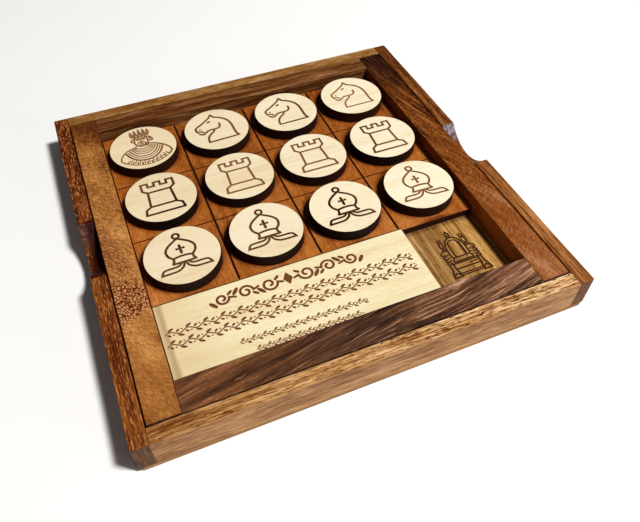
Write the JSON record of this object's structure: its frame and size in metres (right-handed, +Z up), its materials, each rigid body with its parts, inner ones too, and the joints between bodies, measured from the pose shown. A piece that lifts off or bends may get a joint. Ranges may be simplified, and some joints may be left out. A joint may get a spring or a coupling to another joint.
{
  "type": "wooden solitaire puzzle tray",
  "caption": "Flat wooden solitaire puzzle: a notched case holds a lift-out tray with a gridded board, blank plaque, sunk goal cell and loose engraved discs.",
  "frame": {"origin": "middle of the case's underside, on the surface that it stands on", "axes": "+X to the player's right, +Y away from the player (the case's slightly longer side), +Z up"},
  "size_m": [0.184, 0.1862, 0.0164],
  "materials": {
    "case_left_wood": "oiled coarse-grained reddish brown hardwood with open pores",
    "case_right_wood": "oiled mid brown hardwood, redder and striped towards the back",
    "case_end_wood": "oiled golden tan hardwood with short dark pores",
    "case_base_ply": "thin pale plywood, sanded, unfinished edge",
    "tray_left_wood": "oiled golden brown hardwood with a rippled reddish figure",
    "tray_right_wood": "oiled dark to reddish brown hardwood with diagonal figure",
    "tray_walnut": "oiled dark walnut with lighter streaks",
    "tray_floor_wood": "oiled yellow-olive striped hardwood with a burnt engraving",
    "board_cherry": "oiled cherry-faced plywood with burnt engraved lines and edges",
    "plaque_maple": "smooth cream maple with burnt engraved ornament",
    "disc_maple": "smooth cream maple face, burnt brown engraving and near-black burnt rim"
  },
  "bodies": {
    "case": {"case_left_wall": "case_left_wood", "case_right_wall": "case_right_wood", "case_front_wall": "case_end_wood", "case_back_wall": "case_end_wood", "case_base_panel": "case_base_ply"},
    "tray": {"tray_left_rail": "tray_left_wood", "tray_right_rail": "tray_right_wood", "tray_front_rail": "tray_walnut", "tray_back_rail": "tray_walnut", "tray_floor": "tray_floor_wood", "grid_board": "board_cherry", "plaque": "plaque_maple"},
    "king": {"disc_king": "disc_maple"},
    "knight_1": {"disc_knight_1": "disc_maple"},
    "knight_2": {"disc_knight_2": "disc_maple"},
    "knight_3": {"disc_knight_3": "disc_maple"},
    "rook_1": {"disc_rook_1": "disc_maple"},
    "rook_2": {"disc_rook_2": "disc_maple"},
    "rook_3": {"disc_rook_3": "disc_maple"},
    "rook_4": {"disc_rook_4": "disc_maple"},
    "bishop_1": {"disc_bishop_1": "disc_maple"},
    "bishop_2": {"disc_bishop_2": "disc_maple"},
    "bishop_3": {"disc_bishop_3": "disc_maple"},
    "bishop_4": {"disc_bishop_4": "disc_maple"}
  },
  "joints": [
    {"name": "tray_lift", "type": "slide", "parent": "case", "child": "tray", "axis": [0, 0, 1], "range_m": [0, 0.03]},
    {"name": "king_lift", "type": "slide", "parent": "tray", "child": "king", "axis": [0, 0, 1], "range_m": [0, 0.025]},
    {"name": "knight_1_lift", "type": "slide", "parent": "tray", "child": "knight_1", "axis": [0, 0, 1], "range_m": [0, 0.025]},
    {"name": "knight_2_lift", "type": "slide", "parent": "tray", "child": "knight_2", "axis": [0, 0, 1], "range_m": [0, 0.025]},
    {"name": "knight_3_lift", "type": "slide", "parent": "tray", "child": "knight_3", "axis": [0, 0, 1], "range_m": [0, 0.025]},
    {"name": "rook_1_lift", "type": "slide", "parent": "tray", "child": "rook_1", "axis": [0, 0, 1], "range_m": [0, 0.025]},
    {"name": "rook_2_lift", "type": "slide", "parent": "tray", "child": "rook_2", "axis": [0, 0, 1], "range_m": [0, 0.025]},
    {"name": "rook_3_lift", "type": "slide", "parent": "tray", "child": "rook_3", "axis": [0, 0, 1], "range_m": [0, 0.025]},
    {"name": "rook_4_lift", "type": "slide", "parent": "tray", "child": "rook_4", "axis": [0, 0, 1], "range_m": [0, 0.025]},
    {"name": "bishop_1_lift", "type": "slide", "parent": "tray", "child": "bishop_1", "axis": [0, 0, 1], "range_m": [0, 0.025]},
    {"name": "bishop_2_lift", "type": "slide", "parent": "tray", "child": "bishop_2", "axis": [0, 0, 1], "range_m": [0, 0.025]},
    {"name": "bishop_3_lift", "type": "slide", "parent": "tray", "child": "bishop_3", "axis": [0, 0, 1], "range_m": [0, 0.025]},
    {"name": "bishop_4_lift", "type": "slide", "parent": "tray", "child": "bishop_4", "axis": [0, 0, 1], "range_m": [0, 0.025]}
  ]
}
